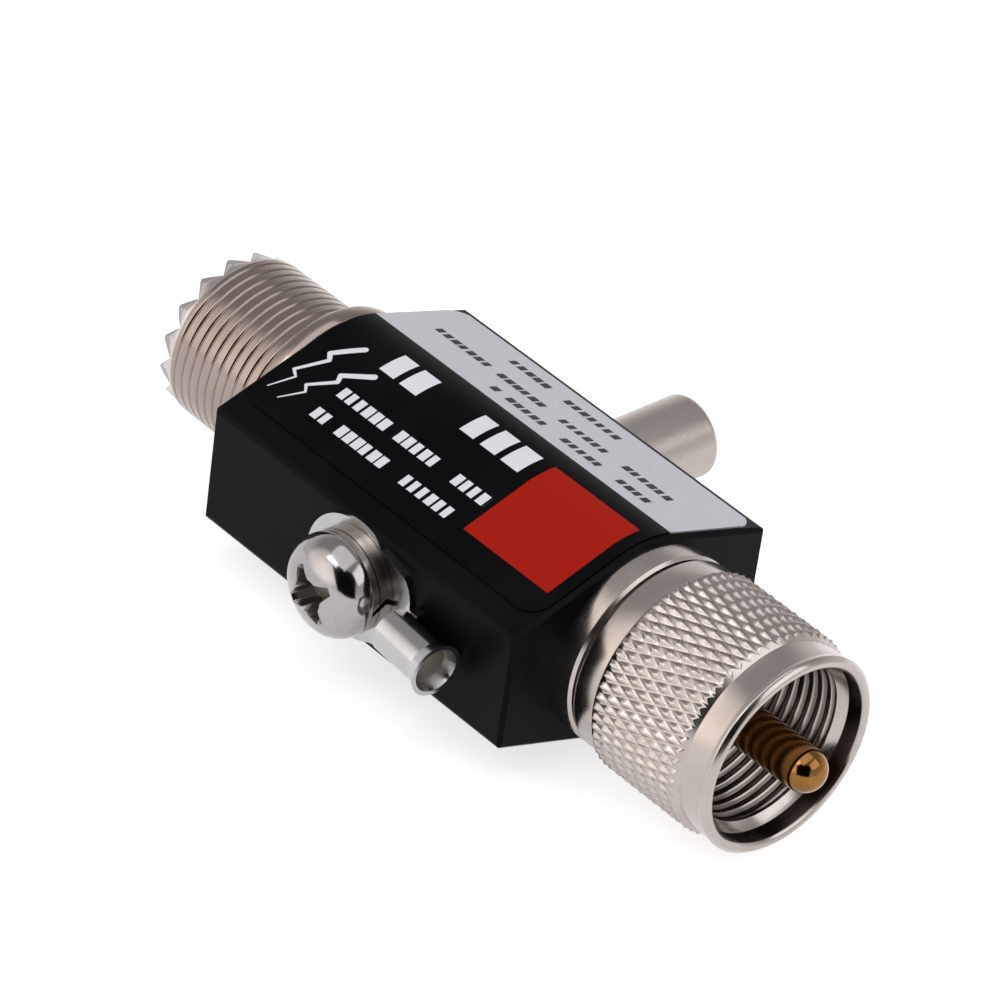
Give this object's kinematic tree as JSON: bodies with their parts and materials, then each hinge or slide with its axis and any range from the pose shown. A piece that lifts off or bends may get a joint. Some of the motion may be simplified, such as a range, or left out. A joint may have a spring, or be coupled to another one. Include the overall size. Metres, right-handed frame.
{
  "type": "coax lightning arrestor",
  "caption": "In-line coax lightning arrestor: black block with a toothed threaded jack, a knurled coupling ring plug, a screwed gas tube cap and a ground screw with ring lug.",
  "frame": {"origin": "on the coax line, at the plug's rim, where the mouth of a mating jack seats", "axes": "+X along the coax line out of the plug, +Y out of the gas tube cap, -Y out of the ground screw, +Z out of the labelled ridge"},
  "size_m": [0.0759, 0.0438, 0.0197],
  "materials": {
    "black_paint": "satin black paint on cast metal",
    "label_film": "printed film",
    "nickel": "satin nickel plate on brass",
    "insulator": "white moulded insulator",
    "contact_brass": "gold-toned brass",
    "spring_steel": "bright spring steel",
    "bright_tin": "bright tin plate",
    "ceramic": "white ceramic",
    "chrome": "polished"
  },
  "bodies": {
    "housing": {"body": "black_paint", "label": "label_film", "jack_shell": "nickel", "jack_insulator": "insulator", "jack_contact": "contact_brass", "line_rod": "contact_brass", "plug_shell": "nickel", "plug_insulator": "insulator", "plug_pin": "contact_brass", "ring_clip": "spring_steel", "tube_line_cup": "bright_tin", "tube_ceramic": "ceramic", "tube_earth_cup": "bright_tin"},
    "ring": {"coupling_ring": "nickel"},
    "spring": {"cap_spring": "spring_steel"},
    "cap": {"tube_cap": "nickel"},
    "washer": {"spring_washer": "bright_tin"},
    "screw": {"ground_screw": "chrome"},
    "lug": {"ground_lug": "bright_tin"}
  },
  "joints": [
    {"name": "ring_spin", "type": "hinge", "parent": "housing", "child": "ring", "pos_m": [0, 0, 0], "axis": [1, 0, 0], "continuous": true},
    {"name": "cap_travel", "type": "slide", "parent": "housing", "child": "spring", "axis": [0, 1, 0], "range_m": [0, 0.0058]},
    {"name": "cap_turn", "type": "hinge", "parent": "spring", "child": "cap", "pos_m": [-0.0243, 0.0142, 0], "axis": [0, 1, 0], "range_deg": [0, 2784]},
    {"name": "screw_travel", "type": "slide", "parent": "housing", "child": "washer", "axis": [0, -1, 0], "range_m": [0, 0.0069]},
    {"name": "screw_turn", "type": "hinge", "parent": "washer", "child": "screw", "pos_m": [-0.0243, -0.016, 0], "axis": [0, -1, 0], "range_deg": [0, 3105]},
    {"name": "lug_swing", "type": "hinge", "parent": "housing", "child": "lug", "pos_m": [-0.0243, -0.0142, 0], "axis": [0, -1, 0], "continuous": true}
  ],
  "couplings": [
    {"joint": "cap_turn", "follows": "cap_travel", "rad_per_m": 8377.6},
    {"joint": "screw_turn", "follows": "screw_travel", "rad_per_m": 7854}
  ]
}
